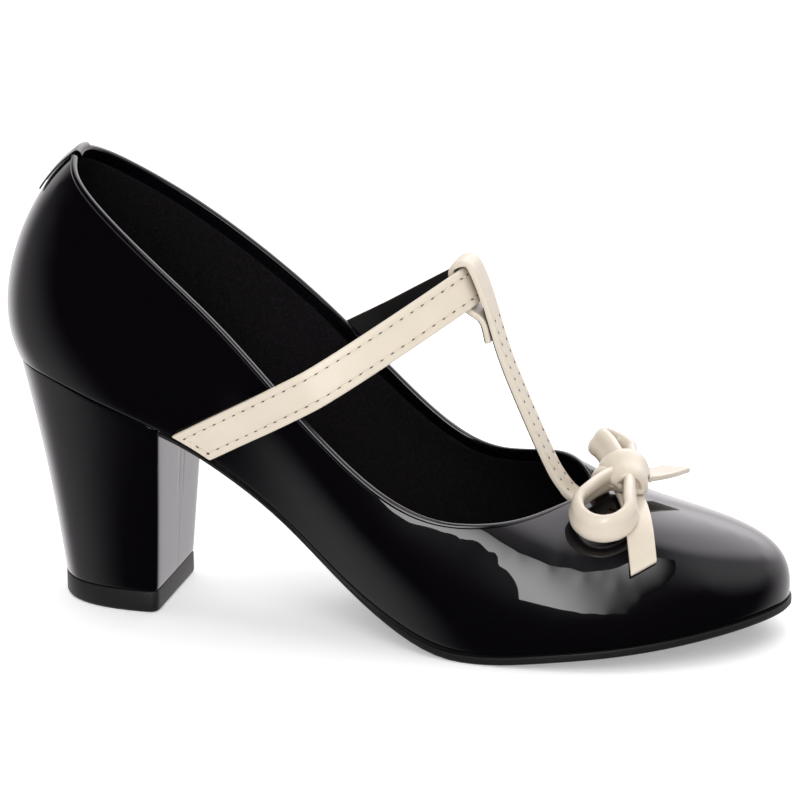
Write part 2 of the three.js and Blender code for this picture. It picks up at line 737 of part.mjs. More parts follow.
// Point and outward direction of the vamp at a distance ahead of the throat and to a side
function onVamp(ahead, side) {
  const placePerSide = 1.5;
  const nearRim = 0.8;
  const throat = upperAt(TIP_PLACE, 1);
  const wanted = [throat.x + ahead, side];
  const { place, rise } = findOnUpper(['x', 'y'], wanted, TIP_PLACE + side * placePerSide, nearRim);
  return { point: upperAt(place, rise), out: upperOut(place, rise) };
}

// T-strap in the middle plane, from the throat to the loop.
// back and up are shares of its reach from the throat's rim to the loop, back and up.
const T_RISE = [
  { back: 0.137, up: -0.060 },
  { back: 0.290, up: 0.042 },
  { back: 0.388, up: 0.156 },
  { back: 0.512, up: 0.322 },
  { back: 0.632, up: 0.490 },
  { back: 0.740, up: 0.656 },
];

function tStrap() {
  const throat = upperAt(TIP_PLACE, 1);
  const sink = WALL + GAP + T_SINK + T_THICK / 2;
  const inside = [T_UNDER, T_UNDER / 2].map((depth) => {
    const { point, out } = onVamp(depth, 0);
    return point.addScaledVector(out, -sink).setY(0);
  });
  const climb = T_RISE.map((row) => new THREE.Vector3(
    mix(throat.x, loopMiddle.x, row.back),
    0,
    mix(throat.z, loopMiddle.z, row.up),
  ));
  const besideStrap = (shift, out) => (
    loopMiddle.clone().addScaledVector(loopDown, shift).addScaledVector(loopOut, out)
  );
  const half = STRAP_WIDTH / 2;
  const inFront = STRAP / 2 + T_CLEAR + T_THICK / 2;
  const behind = inFront + LOOP_BOW + GAP;
  const front = [
    ...inside,
    ...climb,
    besideStrap(half, inFront),
    besideStrap(0, inFront + GAP),
    besideStrap(-half, inFront),
  ];
  const frontCurve = new THREE.CatmullRomCurve3(front, false, 'centripetal');
  const turns = 6;
  const boxiness = 0.7;
  const over = [];
  const reach = (inFront + behind) / 2;
  const middle = (inFront - behind) / 2;
  for (let i = 1; i < turns; i += 1) {
    const angle = Math.PI * i / turns;
    const rise = (2 * GAP + T_THICK / 2) * Math.sin(angle) ** boxiness;
    over.push(besideStrap(-half - rise, middle + reach * Math.cos(angle)));
  }
  const flapRows = [0.35, 1];
  const flap = flapRows.map((share) => {
    const wanted = besideStrap(half, 0).z - LOOP_FLAP * share;
    let at = 1;
    const step = 0.002;
    while (at > 0 && frontCurve.getPoint(at).z > wanted) at -= step;
    const tangent = frontCurve.getTangent(at);
    const out = new THREE.Vector3(-tangent.z, 0, tangent.x);
    if (out.x > 0) out.negate();
    return frontCurve.getPoint(at).addScaledVector(out, T_THICK + GAP);
  });
  const points = [...front, ...over, besideStrap(-half, -behind), besideStrap(half - GAP, -behind), ...flap];
  const curve = new THREE.CatmullRomCurve3(points, false, 'centripetal');
  const steps = 64;
  const path = [];
  for (let i = 0; i <= steps; i += 1) {
    const tangent = curve.getTangentAt(i / steps);
    path.push({
      middle: curve.getPointAt(i / steps),
      across: new THREE.Vector3(0, 1, 0),
      half: T_WIDTH / 2,
      out: new THREE.Vector3(-tangent.z, 0, tangent.x),
    });
  }
  return ribbon(path, T_THICK, 1);
}

// Bow
const knotSeat = onVamp(KNOT_AHEAD, 0);
const knotMiddle = knotSeat.point.clone().addScaledVector(knotSeat.out, KNOT_HEIGHT / 2 + GAP);

function knot(margin) {
  const round = new THREE.SphereGeometry(1, 20, 14);
  const forward = new THREE.Vector3(0, 1, 0).cross(knotSeat.out).normalize();
  const side = new THREE.Vector3(0, 1, 0);
  const power = 0.8;
  const reach = [KNOT_DEPTH / 2 + margin, KNOT_WIDTH / 2 + margin, KNOT_HEIGHT / 2 + margin];
  round.deleteAttribute('normal');
  round.deleteAttribute('uv');
  const merged = mergeVertices(round);
  const at = merged.attributes.position;
  for (let i = 0; i < at.count; i += 1) {
    const [a, b, c] = [at.getX(i), at.getY(i), at.getZ(i)].map((v) => Math.sign(v) * Math.abs(v) ** power);
    const p = knotMiddle.clone().addScaledVector(forward, a * reach[0])
      .addScaledVector(side, b * reach[1]).addScaledVector(knotSeat.out, c * reach[2]);
    at.setXYZ(i, p.x, p.y, p.z);
  }
  return merged;
}

// Loops stand on edge on the vamp: ahead and side place their middles from the throat.
const BOW_LOOPS = [
  { name: 'bow_loop_outer', ahead: 6.3, side: -15.8, rise: 2.0, radius: 7.9 },
  { name: 'bow_loop_inner', ahead: -0.6, side: 14.8, rise: 3.6, radius: 4.9 },
];

function bowLoop(row) {
  const middle = onVamp(row.ahead, row.side);
  const up = middle.out;
  const away = middle.point.clone().sub(knotSeat.point).projectOnPlane(up).normalize();
  const beside = up.clone().cross(away);
  const lift = GAP + BOW_RIBBON / 2 + row.rise;
  const centre = middle.point.clone().addScaledVector(up, lift);
  const points = [knotMiddle.clone().addScaledVector(beside, -LOOP_RIBBON)];
  const turns = 8;
  const round = radians(LOOP_ROUND);
  for (let i = 0; i <= turns; i += 1) {
    const angle = mix(-round, round, i / turns);
    points.push(centre.clone().addScaledVector(away, row.radius * Math.cos(angle))
      .addScaledVector(beside, row.radius * Math.sin(angle)));
  }
  points.push(knotMiddle.clone().addScaledVector(beside, LOOP_RIBBON));
  const curve = new THREE.CatmullRomCurve3(points, false, 'centripetal');
  const steps = 40;
  const path = [];
  for (let i = 0; i <= steps; i += 1) {
    const t = i / steps;
    const tangent = curve.getTangentAt(t);
    const across = up.clone().projectOnPlane(tangent).normalize();
    const out = tangent.clone().cross(across);
    path.push({ middle: curve.getPointAt(t), across, half: BOW_RIBBON / 2, out });
  }
  let solid = toSolid(ribbon(path, LOOP_RIBBON, 1)).subtract(toSolid(knot(GAP)));
  BOW_TAILS.forEach((tail) => {
    solid = solid.subtract(tailRibbon(tail, GAP));
  });
  return fromSolid(solid);
}

// Tails: the outer one lies down the side of the vamp, the inner one stands out over it.
const BOW_TAILS = [
  { name: 'bow_tail_outer', lying: true, rows: [
    { ahead: 9.5, side: -1, up: 1.0 },
    { ahead: 12.8, side: -8, up: 1.0 },
    { ahead: 16, side: -16.5, up: 1.0 },
    { ahead: 19, side: -24.4, up: 1.2 },
  ] },
  { name: 'bow_tail_inner', lying: false, rows: [
    { ahead: 9, side: 1, up: 4.5 },
    { ahead: 13.5, side: 3.5, up: 5.2 },
    { ahead: 17, side: 8.5, up: 6.2 },
    { ahead: 19, side: 14, up: 7.4 },
  ] },
];

function tailRibbon({ rows, lying }, margin) {
  const spots = rows.map((row) => {
    const at = onVamp(row.ahead, row.side);
    return { point: at.point.addScaledVector(at.out, row.up + RIBBON / 2), out: at.out };
  });
  const curve = new THREE.CatmullRomCurve3(spots.map((spot) => spot.point), false, 'centripetal');
  const steps = 12;
  const path = [];
  for (let i = 0; i <= steps; i += 1) {
    const t = i / steps;
    const tangent = curve.getTangent(t);
    const place = t * (spots.length - 1);
    const k = Math.min(Math.floor(place), spots.length - 2);
    const up = spots[k].out.clone().lerp(spots[k + 1].out, place - k);
    const face = lying ? up : UP.clone();
    const across = face.clone().cross(tangent).normalize();
    const out = tangent.clone().cross(across);
    across.addScaledVector(tangent, TAIL_SLANT * t ** 4);
    path.push({ middle: curve.getPoint(t), across, half: BOW_RIBBON / 2 + margin, out });
  }
  return toSolid(ribbon(path, RIBBON + 2 * margin, 2));
}

const bowTail = (tail) => fromSolid(tailRibbon(tail, 0).subtract(toSolid(knot(GAP))));

const group = new THREE.Group();
group.name = 'mary_jane_pump';
function add(name, geometry, color, roughness) {
  const material = new THREE.MeshStandardMaterial({ color, roughness, metalness: 0 });
  const mesh = new THREE.Mesh(geometry, material);
  mesh.name = name;
  group.add(mesh);
}

const BLACK = 0x08070a;
const CREAM = 0xd8cdb8;
add('top_lift', topLift(), 0x101012, 0.6);
add('heel_block', heelBlock(), BLACK, 0.1);
add('outsole', outsole(), BLACK, 0.5);
add('insole', insole(), 0x141214, 0.8);
add('upper', upper(), BLACK, 0.1);
add('back_tab', backTab(), BLACK, 0.1);
add('instep_strap', instepStrap(), CREAM, 0.1);
add('t_strap', tStrap(), CREAM, 0.1);
BOW_LOOPS.forEach((row) => add(row.name, bowLoop(row), CREAM, 0.1));
BOW_TAILS.forEach((tail) => add(tail.name, bowTail(tail), CREAM, 0.1));
add('bow_knot', knot(0), CREAM, 0.1);

export default group;
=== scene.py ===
import json
import math

import bmesh
import bpy
from mathutils import Matrix, Vector
from mathutils.bvhtree import BVHTree

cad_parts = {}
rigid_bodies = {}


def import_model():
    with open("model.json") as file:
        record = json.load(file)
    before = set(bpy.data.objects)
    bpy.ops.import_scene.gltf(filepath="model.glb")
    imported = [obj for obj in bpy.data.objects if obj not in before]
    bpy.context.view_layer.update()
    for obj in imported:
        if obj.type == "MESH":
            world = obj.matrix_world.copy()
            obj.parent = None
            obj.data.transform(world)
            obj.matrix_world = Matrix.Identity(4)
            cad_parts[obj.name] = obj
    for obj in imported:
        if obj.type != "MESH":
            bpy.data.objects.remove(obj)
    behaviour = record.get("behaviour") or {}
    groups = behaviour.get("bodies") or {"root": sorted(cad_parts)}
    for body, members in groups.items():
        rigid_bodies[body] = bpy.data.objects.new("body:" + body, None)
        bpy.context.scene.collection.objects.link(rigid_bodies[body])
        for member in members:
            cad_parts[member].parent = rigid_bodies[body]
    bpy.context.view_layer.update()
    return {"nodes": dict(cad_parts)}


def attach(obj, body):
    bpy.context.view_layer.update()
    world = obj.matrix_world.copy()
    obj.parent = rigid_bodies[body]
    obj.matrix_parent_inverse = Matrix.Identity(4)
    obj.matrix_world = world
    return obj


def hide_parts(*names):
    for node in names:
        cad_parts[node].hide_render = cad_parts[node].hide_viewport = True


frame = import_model()
nodes = frame["nodes"]

# Sizes in metres
MM = 0.001
MERGE = 0.01 * MM
UPPER_ROUND = 0.5 * MM
SOCK_ROUND = 0.7 * MM
SOLE_ROUND = 0.25 * MM
HEEL_ROUND = 0.35 * MM
LIFT_ROUND = 0.3 * MM
TAIL_ROUND = 0.4 * MM
TAB_ROUND = 0.12 * MM
TURN_IN = 3.6 * MM
LINING_THICK = 0.6 * MM
RIM_ROUND = 1.0 * MM
RIM_SINK = 0.7 * MM
STRAP_WIDTH = 11 * MM
T_WIDTH = 10 * MM
STRAP_ROUND = 0.6 * MM
STITCH_INSET = 2.2 * MM
STITCH_PITCH = 3.5 * MM
STITCH_RAISE = 0.02 * MM
T_STITCH_FROM = 2 * MM
T_STITCH_REST = 46 * MM
LOOP_WIDTH = 8.4 * MM
LOOP_THICK = 3.1 * MM

# A thread and a needle hole, the hole being a dark bead whose colour is painted shade for its recess:
# length, width and height in mm
THREAD_SIZE = (2.3, 0.5, 0.4)
HOLE_SHADE_SIZE = (1.05, 0.75, 0.3)
T_STITCH_SHARE = 0.8

# How far the tab keeps from the wall, as a share, and how the upper is evened out
TAB_SNUG = 0.6
FLAT_ENOUGH = 0.94
EVEN_OUT_TIMES = 5

# Places on the solids where lines of faces start
RIM_START = Vector((69.2, -30.5, 60.0)) * MM
STRAP_LOW_START = Vector((33.0, -29, 52.0)) * MM
STRAP_HIGH_START = Vector((27.0, -29, 55.5)) * MM
T_START = Vector((147.5, 0, 39.0)) * MM
INSIDE_START = Vector((30, -24, 80)) * MM

# Camera
IMAGE_SIDE = 800
FOCAL = 3534.7
CAMERA_REACH = 1.0
CAMERA_TURN = 14
CAMERA_RISE = 17.5
SENSOR_WIDTH = 36
LOOK_AT = Vector((0.0835, 0, 0.0637))


def towards(azimuth, elevation):
    """The direction of a place round the shoe, from angles in degrees"""
    a, e = math.radians(azimuth), math.radians(elevation)
    return Vector((math.sin(a) * math.cos(e), -math.cos(a) * math.cos(e), math.sin(e)))


def add_camera():
    lens = bpy.data.cameras.new("camera")
    camera = bpy.data.objects.new("camera", lens)
    bpy.context.scene.collection.objects.link(camera)
    back = towards(CAMERA_TURN, CAMERA_RISE)
    camera.location = LOOK_AT + back * CAMERA_REACH
    camera.rotation_mode = "QUATERNION"
    camera.rotation_quaternion = (-back).to_track_quat("-Z", "Y")
    lens.sensor_width = SENSOR_WIDTH
    lens.lens = FOCAL / IMAGE_SIDE * lens.sensor_width
    lens.clip_start = 0.05
    bpy.context.scene.camera = camera


# Finishes
class Value:
    """A number, place or colour that changes over a surface."""

    def __init__(self, nodes, socket):
        self.nodes = nodes
        self.socket = socket

    def maths(self, operation, first, second):
        node = self.nodes.node("ShaderNodeMath", {"operation": operation}, {0: first, 1: second})
        return Value(self.nodes, node.outputs[0])

    def __add__(self, other):
        return self.maths("ADD", self, other)

    def __radd__(self, other):
        return self.maths("ADD", other, self)

    def __sub__(self, other):
        return self.maths("SUBTRACT", self, other)

    def __rsub__(self, other):
        return self.maths("SUBTRACT", other, self)

    def __mul__(self, other):
        return self.maths("MULTIPLY", self, other)

    def __rmul__(self, other):
        return self.maths("MULTIPLY", other, self)

    def __truediv__(self, other):
        return self.maths("DIVIDE", self, other)


class Nodes:
    """The nodes of one material or of the room."""

    def __init__(self, tree):
        self.tree = tree

    def node(self, kind, settings=None, inputs=None):
        node = self.tree.nodes.new(kind)
        for key, value in (settings or {}).items():
            setattr(node, key, value)
        for key, value in (inputs or {}).items():
            if isinstance(value, Value):
                self.tree.links.new(value.socket, node.inputs[key])
            else:
                node.inputs[key].default_value = value
        return node

    def share_between(self, value, low, high):
        """0 below low, 1 above high and an even change between"""
        node = self.node("ShaderNodeMapRange", {"interpolation_type": "SMOOTHSTEP"}, {
            "Value": value, "From Min": low, "From Max": high,
        })
        return Value(self, node.outputs[0])


class Finish(Nodes):
    """One material of the shoe."""

    def __init__(self, name, color, roughness, coat=0.0, coat_roughness=0.03, specular=0.5):
        self.material = bpy.data.materials.new(name)
        self.material.use_nodes = True
        super().__init__(self.material.node_tree)
        self.shader = self.tree.nodes["Principled BSDF"]
        self.set("Base Color", (*color, 1))
        self.set("Roughness", roughness)
        self.set("Coat Weight", coat)
        self.set("Coat Roughness", coat_roughness)
        self.set("Specular IOR Level", specular)
        self.material.diffuse_color = (*color, 1)

    def set(self, name, value):
        if isinstance(value, Value):
            self.tree.links.new(value.socket, self.shader.inputs[name])
        else:
            self.shader.inputs[name].default_value = value

    def place(self, scale=(1, 1, 1)):
        where = self.node("ShaderNodeTexCoord")
        mapping = self.node("ShaderNodeMapping", None, {
            "Vector": Value(self, where.outputs["Object"]),
            "Scale": scale,
        })
        return Value(self, mapping.outputs[0])

    def axis(self, name):
        where = self.node("ShaderNodeTexCoord")
        parts = self.node("ShaderNodeSeparateXYZ", None, {0: Value(self, where.outputs["Object"])})
        return Value(self, parts.outputs[name])

    def noise(self, size, detail=2.0, place=None):
        node = self.node("ShaderNodeTexNoise", None, {
            "Vector": place or self.place(),
            "Scale": 1 / size,
            "Detail": detail,
        })
        return Value(self, node.outputs["Fac"])

    def mix(self, share, first, second):
        node = self.node("ShaderNodeMix", {"data_type": "RGBA"}, {
            "Factor": share, "A": (*first, 1), "B": (*second, 1),
        })
        return Value(self, node.outputs["Result"])

    def relief(self, height, depth):
        node = self.node("ShaderNodeBump", None, {"Height": height, "Distance": depth, "Strength": 1.0})
        self.set("Normal", Value(self, node.outputs[0]))


def groove(finish, distance, width):
    """0 away from a line and 1 on it"""
    ratio = distance / width
    node = finish.node("ShaderNodeMath", {"operation": "EXPONENT"}, {0: ratio * ratio * -1})
    return Value(finish, node.outputs[0])


PATENT_BLACK = (0.0013, 0.0008, 0.0016)


def black_patent_finish():
    finish = Finish("black_patent", PATENT_BLACK, 0.3, coat=1.0, coat_roughness=0.02, specular=0.06)
    waves = finish.noise(14 * MM, 1.0)
    peel = finish.noise(2.2 * MM, 2.0)
    finish.relief(waves * 0.03 + peel * 0.02, 0.25 * MM)
    finish.set("Roughness", 0.26 + 0.1 * finish.noise(9 * MM))
    return finish.material


def heel_patent_finish():
    finish = Finish("heel_patent", PATENT_BLACK, 0.3, coat=1.0, coat_roughness=0.04, specular=0.06)
    waves = finish.noise(12 * MM, 1.0)
    peel = finish.noise(2.2 * MM, 2.0)
    side, height = finish.axis("Y"), finish.axis("Z")
    front = finish.share_between(finish.axis("X"), 15.5 * MM, 16.2 * MM)
    upper_half = finish.share_between(height, 26 * MM, 48 * MM)
    wander = (finish.noise(9 * MM, 2.0, finish.place(scale=(0, 0, 1))) - 0.5) * (5 * MM) * upper_half
    seam = groove(finish, side + wander, 0.3 * MM)
    ripple = groove(finish, side + wander - 1.7 * MM, 0.8 * MM) * upper_half
    other_ripple = groove(finish, side - wander + 2.1 * MM, 1.0 * MM) * upper_half
    folds = (seam + ripple * 0.7 + other_ripple * 0.5) * front
    finish.relief(waves * 0.2 + peel * 0.03 - folds * 3.5, 0.5 * MM)
    finish.set("Roughness", 0.26 + 0.1 * finish.noise(9 * MM))
    return finish.material


def cream_patent_finish(name, coat, coat_roughness):
    finish = Finish(name, (0.64, 0.57, 0.47), 0.4, coat=coat, coat_roughness=coat_roughness, specular=0.3)
    cloud = finish.noise(11 * MM, 3.0)
    finish.set("Base Color", finish.mix(cloud, (0.60, 0.53, 0.43), (0.67, 0.60, 0.50)))
    grain = finish.noise(0.9 * MM, 3.0)
    finish.relief(grain * 0.25 + finish.noise(5 * MM) * 0.6, 0.12 * MM)
    finish.set("Roughness", 0.36 + 0.14 * grain)
    return finish.material


def lining_finish():
    finish = Finish("lining_cloth", (0.004, 0.0035, 0.004), 0.9, specular=0.12)
    warp = finish.noise(0.35 * MM, 1.0, finish.place(scale=(1, 1, 0.25)))
    weft = finish.noise(0.35 * MM, 1.0, finish.place(scale=(0.25, 1, 1)))
    weave = warp * weft * 2
    finish.set("Base Color", finish.mix(weave, (0.001, 0.0008, 0.001), (0.010, 0.0085, 0.010)))
    finish.relief(weave, 0.12 * MM)
    return finish.material


def strap_lining_finish():
    finish = Finish("strap_lining", (0.01, 0.009, 0.01), 0.75, specular=0.35)
    grain = finish.noise(0.6 * MM, 3.0)
    finish.set("Base Color", finish.mix(grain, (0.004, 0.004, 0.004), (0.02, 0.018, 0.018)))
    finish.relief(grain, 0.1 * MM)
    return finish.material


def rubber_finish(name, shade, depth):
    finish = Finish(name, (shade, shade * 0.92, shade), 0.5, specular=0.4)
    grain = finish.noise(0.7 * MM, 3.0)
    finish.relief(grain, depth)
    finish.set("Roughness", 0.42 + 0.2 * grain)
    return finish.material


def thread_finish():
    finish = Finish("cream_thread", (0.74, 0.66, 0.53), 0.6)
    ply = finish.noise(0.25 * MM, 1.0)
    finish.relief(ply, 0.08 * MM)
    finish.set("Base Color", finish.mix(ply, (0.62, 0.54, 0.42), (0.80, 0.73, 0.61)))
    return finish.material


# Needle holes: the dark colour is painted shade and stands in for the shade inside each hole
def hole_shade_finish():
    finish = Finish("needle_hole_shade", (0.035, 0.026, 0.018), 0.9, specular=0.1)
    finish.relief(finish.noise(0.2 * MM), 0.05 * MM)
    return finish.material


# Working on a mesh
def choose(piece):
    bpy.ops.object.select_all(action="DESELECT")
    piece.select_set(True)
    bpy.context.view_layer.objects.active = piece


def open_mesh(piece, kind="FACE"):
    choose(piece)
    bpy.ops.object.mode_set(mode="EDIT")
    bpy.ops.mesh.select_mode(type=kind)
    bpy.ops.mesh.select_all(action="DESELECT")


def close_mesh():
    bpy.ops.object.mode_set(mode="OBJECT")


def apply_modifier(piece, kind, settings):
    choose(piece)
    modifier = piece.modifiers.new(kind.lower(), kind)
    for key, value in settings.items():
        setattr(modifier, key, value)
    bpy.ops.object.modifier_apply(modifier=modifier.name)


def subdivide(piece, levels):
    apply_modifier(piece, "SUBSURF", {"levels": levels, "render_levels": levels})


def copy_of(node, name):
    """A node's shape as a new piece of joined four-sided faces"""
    bpy.ops.object.select_all(action="DESELECT")
    piece = nodes[node].copy()
    piece.data = nodes[node].data.copy()
    for key in list(piece.keys()):
        if key.startswith("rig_"):
            del piece[key]
    piece.name = name
    piece.parent = None
    piece.data.materials.clear()
    bpy.context.scene.collection.objects.link(piece)
    piece.hide_viewport = False
    piece.hide_render = False
    piece.hide_set(False)
    open_mesh(piece)
    bpy.ops.mesh.select_all(action="SELECT")
    bpy.ops.mesh.remove_doubles(threshold=MERGE)
    bpy.ops.mesh.customdata_custom_splitnormals_clear()
    bpy.ops.mesh.tris_convert_to_quads(face_threshold=math.radians(50), shape_threshold=math.radians(60))
    close_mesh()
    return piece


def round_edges(piece, radius, steps, angle=45):
    open_mesh(piece, "EDGE")
    bpy.ops.mesh.edges_select_sharp(sharpness=math.radians(angle))
    bpy.ops.mesh.bevel(offset=radius, segments=steps, affect="EDGES")
    close_mesh()


def even_out(piece):
    """Smooths the open faces of a piece and leaves its edges as they are"""
    open_mesh(piece, "VERT")
    mesh = bmesh.from_edit_mesh(piece.data)
    for vertex in mesh.verts:
        vertex.select_set(all(face.normal.dot(vertex.normal) > FLAT_ENOUGH for face in vertex.link_faces))
    mesh.select_flush_mode()
    bpy.ops.mesh.select_less()
    bpy.ops.mesh.vertices_smooth(factor=0.5, repeat=EVEN_OUT_TIMES)
    close_mesh()


def smooth(piece, angle=None):
    choose(piece)
    if angle is None:
        bpy.ops.object.shade_smooth()
    else:
        bpy.ops.object.shade_smooth_by_angle(angle=math.radians(angle))


def paint(piece, *materials):
    piece.data.materials.clear()
    for material in materials:
        piece.data.materials.append(material)


def paint_faces(piece, index, test):
    for face in piece.data.polygons:
        if test(face.center, face.normal):
            face.material_index = index


def wear(piece, slot, *replaced):
    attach(piece, "root")
    if replaced:
        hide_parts(*replaced)


# Main pieces
def rounded(node, name, radius, steps, levels, material, slot, sharp=45, soft=None):
    """A solid's copy with round edges that shows in its place"""
    piece = copy_of(node, name)
    round_edges(piece, radius, steps, sharp)
    if levels:
        subdivide(piece, levels)
    paint(piece, material)
    smooth(piece, soft)
    wear(piece, slot, node)


def make_upper(patent):
    shell = copy_of("upper", "upper_shell")
    round_edges(shell, UPPER_ROUND, 2)
    subdivide(shell, 1)
    even_out(shell)
    subdivide(shell, 1)
    paint(shell, patent)
    smooth(shell)
    wear(shell, "black_patent", "upper")


def make_rim(patent):
    """The folded edge along the topline, as a bead"""
    guide = copy_of("upper", "rim_guide")
    pairs = walk(guide, RIM_START, Vector((0, 0, 1)), Vector((0, 1, 0)))
    points = between(pairs[:-1], 0.5, -RIM_SINK)
    bpy.data.objects.remove(guide)
    curve = bpy.data.curves.new("upper_rim", "CURVE")
    curve.dimensions = "3D"
    curve.bevel_depth = RIM_ROUND
    curve.bevel_resolution = 4
    curve.resolution_u = 3
    line = curve.splines.new("BEZIER")
    line.bezier_points.add(len(points) - 1)
    for spot, point in zip(line.bezier_points, points):
        spot.co = point
        spot.handle_left_type = "AUTO"
        spot.handle_right_type = "AUTO"
    line.use_cyclic_u = True
    rim = bpy.data.objects.new("upper_rim", curve)
    bpy.context.scene.collection.objects.link(rim)
    choose(rim)
    bpy.ops.object.convert(target="MESH")
    rim = bpy.context.object
    paint(rim, patent)
    smooth(rim)
    wear(rim, "black_patent")


def inner_sheet(name):
    """The inner side of the upper's wall as an open sheet"""
    sheet = copy_of("upper", name)
    open_mesh(sheet, "EDGE")
    bpy.ops.mesh.edges_select_sharp(sharpness=math.radians(50))
    bpy.ops.mesh.mark_sharp()
    bpy.ops.mesh.select_mode(type="FACE")
    bpy.ops.mesh.select_all(action="DESELECT")
    mesh = bmesh.from_edit_mesh(sheet.data)
    facing = [face for face in mesh.faces if face.normal.y > 0.5]
    nearest = min(facing, key=lambda face: (face.calc_center_median() - INSIDE_START).length)
    nearest.select_set(True)
    bmesh.update_edit_mesh(sheet.data)
    bpy.ops.mesh.select_linked(delimit={"SHARP"})
    bpy.ops.mesh.select_all(action="INVERT")
    bpy.ops.mesh.delete(type="FACE")
    close_mesh()
    return sheet


def make_lining(cloth):
    lining = inner_sheet("upper_lining")
    open_mesh(lining)
    bpy.ops.mesh.select_all(action="SELECT")
    bpy.ops.mesh.inset(thickness=TURN_IN, use_boundary=True, use_even_offset=True)
    bpy.ops.mesh.select_all(action="INVERT")
    bpy.ops.mesh.delete(type="FACE")
    close_mesh()
    apply_modifier(lining, "SOLIDIFY", {"thickness": LINING_THICK, "offset": 1.0})
    subdivide(lining, 1)
    paint(lining, cloth)
    smooth(lining)
    wear(lining, "lining_cloth")


# Straps
# Cosines: how well a strip's first face has to match the wanted side, and how much the strip may bend
# from face to face
ON_SIDE = 0.3
SAME_STRIP = 0.4


def walk(piece, start, facing, across):
    """Pairs of points across a strip of faces, from its crossing edge nearest to start"""
    mesh = bmesh.new()
    mesh.from_mesh(piece.data)
    faces = [face for face in mesh.faces if len(face.verts) == 4 and face.normal.dot(facing) > ON_SIDE]
    face = min(faces, key=lambda item: (item.calc_center_median() - start).length)

    def slant(edge):
        return -abs((edge.verts[1].co - edge.verts[0].co).normalized().dot(across))

    crossing = sorted(face.edges, key=slant)[:2]
    away = min(crossing, key=lambda edge: ((edge.verts[0].co + edge.verts[1].co) / 2 - start).length)
    loop = next(item for item in face.loops if item.edge == away)
    pairs = [(loop.vert.co.copy(), loop.link_loop_next.vert.co.copy(), face.normal.copy())]
    while True:
        ahead = loop.link_loop_next.link_loop_next
        pairs.append((ahead.link_loop_next.vert.co.copy(), ahead.vert.co.copy(), loop.face.normal.copy()))
        following = ahead.link_loop_radial_next
        if following.face in (loop.face, face) or len(following.face.verts) != 4:
            break
        if following.face.normal.dot(loop.face.normal) < SAME_STRIP:
            break
        loop = following
    mesh.free()
    return pairs


def rail(name, points):
    curve = bpy.data.curves.new(name, "CURVE")
    curve.dimensions = "3D"
    line = curve.splines.new("POLY")
    line.points.add(len(points) - 1)
    for spot, point in zip(line.points, points):
        spot.co = (*point, 1)
    piece = bpy.data.objects.new(name, curve)
    bpy.context.scene.collection.objects.link(piece)
    return piece


def length_of(points):
    return sum((b - a).length for a, b in zip(points, points[1:]))


def run_along(piece, points, pitch):
    """Repeats a piece along a line and bends the row to it"""
    path = rail("rail", points)
    count = int(length_of(points) / pitch)
    apply_modifier(piece, "ARRAY", {
        "fit_type": "FIXED_COUNT", "count": count, "use_relative_offset": False,
        "use_constant_offset": True, "constant_offset_displace": (pitch, 0, 0),
    })
    apply_modifier(piece, "CURVE", {"object": path, "deform_axis": "POS_X"})
    bpy.data.objects.remove(path)


def bead(name, at, size):
    bpy.ops.object.select_all(action="DESELECT")
    bpy.ops.mesh.primitive_uv_sphere_add(segments=8, ring_count=6, radius=0.5, location=(at, 0, 0))
    piece = bpy.context.object
    piece.name = name
    piece.scale = size
    bpy.ops.object.transform_apply(location=True, rotation=True, scale=True)
    return piece


def stitch_row(name, points, thread, hole_shade, size=1.0):
    """Threads that dip into needle holes along a line on a strap; the holes are dark beads, painted shade
    for each recess
    """
    long, wide, high = THREAD_SIZE
    threads = bead(name + "_thread", STITCH_PITCH / 2, (long * MM, wide * size * MM, high * size * MM))
    run_along(threads, points, STITCH_PITCH)
    paint(threads, thread)
    smooth(threads)
    wear(threads, "cream_patent")
    # Dark beads at the needle holes, coloured with painted shade
    long, wide, high = HOLE_SHADE_SIZE
    shade_beads = bead(name + "_holes", 0.0, (long * size * MM, wide * size * MM, high * size * MM))
    run_along(shade_beads, points, STITCH_PITCH)
    paint(shade_beads, hole_shade)
    smooth(shade_beads)
    wear(shade_beads, "cream_patent")


def finish_strap(strap):
    round_edges(strap, STRAP_ROUND, 3, 50)
    subdivide(strap, 1)
    smooth(strap)


def between(pairs, share, lift):
    return [a.lerp(b, share) + normal * lift for a, b, normal in pairs]


def trim(points, head, tail):
    """The part of a line that starts head from its beginning and stops tail before its end"""
    total = length_of(points)
    kept, run = [], 0.0
    for a, b in zip(points, points[1:]):
        step = (b - a).length
        if run + step > head and not kept:
            kept.append(a.lerp(b, (head - run) / step))
        if run + step >= total - tail:
            kept.append(a.lerp(b, (total - tail - run) / step))
            break
        if kept:
            kept.append(b)
        run += step
    return kept


# Where the T-strap folds round the instep strap, and how far behind it the foot's middle lies
LOOP_MIDDLE = Vector((104.43, 0, 99.48)) * MM
FOOT_BEHIND = 50 * MM
LOOP_OUT = Vector((0.92, 0, 0.39))
LOOP_DOWN = Vector((0.39, 0, -0.92))


